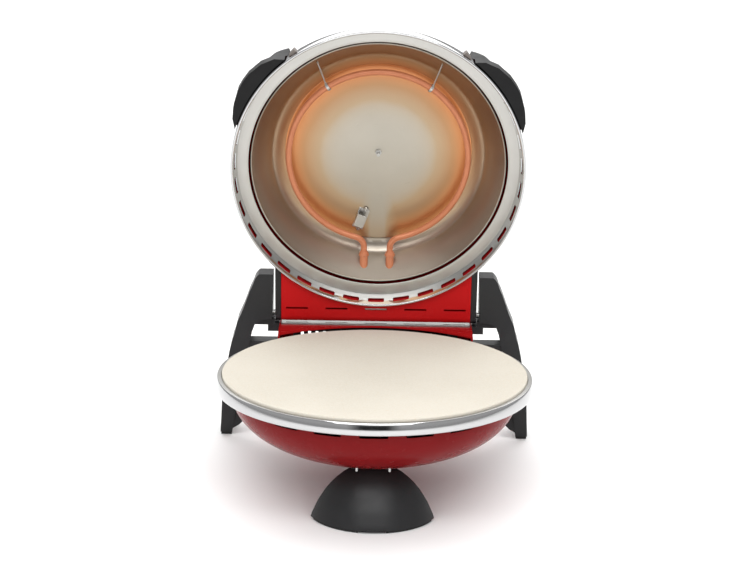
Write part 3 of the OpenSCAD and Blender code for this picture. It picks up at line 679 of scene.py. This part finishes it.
def lid_ring_piece():
    prof = rounded([(155.3, 12.5, 0.2), (155.3, 0.9, 1.0), (154.4, 0.0, 0.6), (153.1, 0.0, 0.6), (152.35, 0.9, 0.8), (149.6, 15.6, 3.0), (148.9, 19.4, 0.2),
                    (149.9, 19.4, 0.1), (150.5, 15.6, 0.8), (153.2, 1.9, 0.3), (154.3, 1.9, 0.2), (154.3, 12.5, 0.1)], 0.5, 4)
    me = lathe(prof, LID, 360)
    turned(me, LID_INV)
    o = make("lid_band", me, [M["chrome_band"]], "lid", "lid_rim_ring")
    cuts = [arc_block(90 + i * 360 / 35, 6.7, 145, 153.7, 5, 12, LID, 8, 1.6) for i in range(35)]
    cut(o, cuts)
    finish_mesh(o.data, 38)
    return o


def flange_piece():
    prof = [(149.8, 19.7), (149.8, 20.9), (137.2, 20.9), (137.2, 20.0), (137.3, 19.8), (137.5, 19.7), (141, 19.7), (145, 19.7)]
    me = lathe(prof, LID, 360)
    turned(me, LID_INV, 900)
    finish_mesh(me, 40)
    return make("lid_flange", me, [M["flange_steel"]], "lid", "lid_flange_ring")


def dome_piece():
    outer = [p for p in curve_pts(DOME_W, DOME_H - DOME_Z0, DOME_P, DOME_Z0, 1, 96) if p[1] > DOME_Z0 + 0.4]
    inner = [p for p in curve_pts(DOME_W - 1, DOME_H - DOME_Z0 - 1, DOME_P, DOME_Z0, 1, 96) if p[1] > DOME_Z0 + 0.4]
    prof = [(DOME_W, 4.0), (DOME_W, 6.0), (DOME_W, DOME_Z0)] + outer + inner[::-1] + [(DOME_W - 1, DOME_Z0), (DOME_W - 1, 4.0)]
    me = lathe(prof, LID, 320)
    o = make("dome", me, [M["red_enamel"]], "lid", "lid_shell")
    finish_mesh(o.data, 35)
    return o


def element_piece(name, node, to, r, rise, long, dip, mat):
    me = tube(loop_path(r, rise, 12, long, dip), 3.3)
    me.transform(to)
    finish_mesh(me, 40)
    return make(name, me, [mat], BODY_OF[node], node)


ring_piece()
bowl_piece()
stone_piece()
lid_ring_piece()
flange_piece()
reflector_piece()
if "reflector_roof" in NODES:
    roof_piece()
dome_piece()
element_piece("upper_element", "upper_heating_element", LID, LOOP_R, LOOP_Z, 28, 15, M["element_glow"])
element_piece("lower_element", "lower_heating_element", BASE, 98, -25, 32.5, 0, M["element_dark"])

WIDTHS = {
    "left_side_frame": 1.6, "right_side_frame": 1.6, "left_lid_cheek": 0.9, "right_lid_cheek": 0.9, "lid_rear_housing": 0.7,
    "base_rear_housing": 1.2, "base_vent_plate": 0.35, "base_rear_cover": 0.6, "power_inlet": 0.5, "front_foot": 0.7,
    "front_foot_pads": 0.5, "rear_foot_pads": 0.6, "lid_handle": 1.8, "control_fascia": 0.4, "thermostat_knob": 0.6, "timer_knob": 0.6,
    "pilot_lenses": 0.5, "handle_brackets": 0.3, "sensor_bracket": 0.25, "element_wire_clips": 0.25, "upper_element_ferrules": 0.35,
    "lower_reflector": 0.2, "thermostat": 0.3, "timer": 0.3,
}
for node in NODES:
    if NODES[node].hide_render:
        continue
    mat = M["satin_plate"] if node in ("base_vent_plate", "sensor_bracket", "element_wire_clips", "thermostat", "timer", "lower_element_clips", "lower_element_ferrules") else None
    if node in ("upper_element_ferrules",):
        mat = M["element_glow"]
    # the lid's rear box takes the lighter copy of the red enamel: painted light
    if node == "lid_rear_housing":
        mat = M["red_enamel_painted_light"]
    if node == "lid_handle":
        mat = M["handle_black"]
    if node == "lower_reflector":
        mat = M["zinc_screw"]
    refine(node, WIDTHS.get(node, 0.25), 2 if WIDTHS.get(node, 0.25) < 0.5 else 3, mat=mat)


def pointer_piece(joint, node):
    """A thin pale line let into the top of a knob's rib, so its setting can be read."""
    j = next(q for q in frame["joints"] if q["name"] == joint)
    z = Vector(j["axis"]).normalized()
    turn = math.radians(22 if Vector(j["pos_m"]).x > 0 else -22)

    def dome(r):
        return DOME_Z0 + (DOME_H - DOME_Z0) * (1 - (r / DOME_W) ** DOME_P) ** (1 / DOME_P)
    lean = math.atan((dome(105) - dome(107)) / 2)
    rib = Vector((-math.cos(lean) * math.sin(turn), math.cos(lean) * math.cos(turn), math.sin(lean)))
    up = -(LID.to_3x3() @ rib).normalized()
    up = (up - z * up.dot(z)).normalized()
    side = up.cross(z).normalized()
    to = Matrix((side, up, z)).transposed().to_4x4()
    to.translation = Vector(j["pos_m"])
    bm = bmesh.new()
    for y0, y1, w in ((3.5, 12.2, 0.7),):
        ring = []
        for k in range(9):
            a = math.pi * k / 8
            ring.append((w * math.cos(a), y1 - w + w * math.sin(a)))
        ring += [(-w, y0), (w, y0)]
        low = [bm.verts.new((x, y, 14.3)) for x, y in ring]
        top = [bm.verts.new((x * 0.86, y, 14.68)) for x, y in ring]
        bm.faces.new(top)
        bm.faces.new(low[::-1])
        for k in range(len(ring)):
            q = (k + 1) % len(ring)
            bm.faces.new((low[k], low[q], top[q], top[k]))
    bmesh.ops.recalc_face_normals(bm, faces=bm.faces)
    me = bpy.data.meshes.new("pointer")
    bm.to_mesh(me)
    bm.free()
    me.transform(to @ SCALE)
    finish_mesh(me, 30)
    make(node + "_pointer", me, [M["ceramic_white"]], BODY_OF[node], slot="knob_plastic")


pointer_piece("thermostat_turn", "thermostat_knob")
pointer_piece("timer_turn", "timer_knob")

# ---------------------------------------------------------------- stage, light and camera
def floor_material():
    k = Mat("floor", (0.93, 0.93, 0.925), 0.62)
    k.to("Roughness", k.maprange(k.noise(3, 3), 0.3, 0.7, 0.55, 0.7))
    k.to("Base Color", k.mix(k.noise(1.5, 3), (0.925, 0.925, 0.92), (0.94, 0.94, 0.935)))
    return k.m


WORLD_FRONT = [(0.0, 0.9), (0.49, 0.9), (0.50, 0.02), (0.60, 0.02), (0.66, 0.30), (0.78, 0.42), (1.0, 0.45)]
WORLD_SIDES = [(0.0, 0.9), (0.49, 0.9), (0.50, 0.42), (0.60, 0.56), (0.75, 0.48), (1.0, 0.45)]
LIGHTS = [
    ("top", (0.0, 0.9, 3.0), (0, 0.7, 0.0), (5.0, 4.0), 78),
    ("back", (0.0, 4.8, 3.4), (0, 3.8, 0.0), (10.0, 4.0), 260),
    ("key", (0.0, -2.9, 1.95), (0, 0, 0.2), (3.2, 1.1), 34),
    ("apron", (0.0, -1.5, 2.2), (0, -0.7, 0.0), (2.6, 0.7), 34),
]

fm = bpy.data.meshes.new("floor")
fm.from_pydata([(-12, -12, 0), (12, -12, 0), (12, 12, 0), (-12, 12, 0)], [], [(0, 1, 2, 3)])
floor = bpy.data.objects.new("floor", fm)
fm.materials.append(floor_material())
SCENE.collection.objects.link(floor)

world = bpy.data.worlds.new("studio")
SCENE.world = world
world.use_nodes = True
wn, wl = world.node_tree.nodes, world.node_tree.links
bg = wn["Background"]
tc = wn.new("ShaderNodeTexCoord")
sep = wn.new("ShaderNodeSeparateXYZ")
wl.new(tc.outputs["Generated"], sep.inputs[0])


def world_ramp(out, stops):
    mr = wn.new("ShaderNodeMapRange")
    mr.inputs[1].default_value = -1
    mr.inputs[2].default_value = 1
    wl.new(out, mr.inputs[0])
    ramp = wn.new("ShaderNodeValToRGB")
    while len(ramp.color_ramp.elements) < len(stops):
        ramp.color_ramp.elements.new(0.5)
    for el, (p, v) in zip(ramp.color_ramp.elements, stops):
        el.position = p
        el.color = (v, v, v, 1)
    wl.new(mr.outputs[0], ramp.inputs["Fac"])
    return ramp.outputs["Color"]


# a dark line at the horizon on the front side, pale walls at the sides, a soft ceiling
front = world_ramp(sep.outputs["Z"], WORLD_FRONT)
sides = world_ramp(sep.outputs["Z"], WORLD_SIDES)
where_x = world_ramp(sep.outputs["X"], [(0.0, 1.0), (0.34, 1.0), (0.42, 0.0), (0.58, 0.0), (0.66, 1.0), (1.0, 1.0)])
blend = wn.new("ShaderNodeMix")
blend.data_type = "RGBA"
wl.new(where_x, blend.inputs[0])
wl.new(front, blend.inputs[6])
wl.new(sides, blend.inputs[7])
wl.new(blend.outputs[2], bg.inputs["Color"])
bg.inputs["Strength"].default_value = 1.0


def area(name, loc, target, size, power, color=(1, 1, 1)):
    d = bpy.data.lights.new(name, "AREA")
    d.shape = "RECTANGLE"
    d.size, d.size_y = size
    d.energy = power
    d.color = color
    o = bpy.data.objects.new(name, d)
    o.location = loc
    o.rotation_euler = (Vector(target) - Vector(loc)).to_track_quat("-Z", "Y").to_euler()
    SCENE.collection.objects.link(o)
    return o


for spec in LIGHTS:
    area(*spec)

# The camera stands 2.4 m from the stone, 17 degrees above it, rolled by one degree
PX, PY = 750.0, 563.0
DIST, ELEV, FOCAL = 2.4, math.radians(17.055), 2361.6
target = Vector((0, AXIS_Y, RING_Z))
back_dir = Vector((0, -math.cos(ELEV), math.sin(ELEV)))
where = target + back_dir * DIST
pitch = ELEV - math.atan(92.85 / FOCAL)
cam_data = bpy.data.cameras.new("camera")
cam_data.sensor_width = 36
cam_data.lens = FOCAL * 36 / PX
cam_data.clip_start, cam_data.clip_end = 0.05, 60
cam = bpy.data.objects.new("camera", cam_data)
yaw = -1.3 / FOCAL
look = Vector((math.sin(yaw), math.cos(yaw) * math.cos(pitch), -math.sin(pitch)))
q = look.to_track_quat("-Z", "Y")
roll = math.radians(0.95)
cam.rotation_mode = "QUATERNION"
cam.rotation_quaternion = q @ Matrix.Rotation(roll, 3, "Z").to_quaternion()
cam.location = where
SCENE.collection.objects.link(cam)
SCENE.camera = cam
SCENE.view_settings.view_transform = "Standard"
SCENE.view_settings.look = "None"
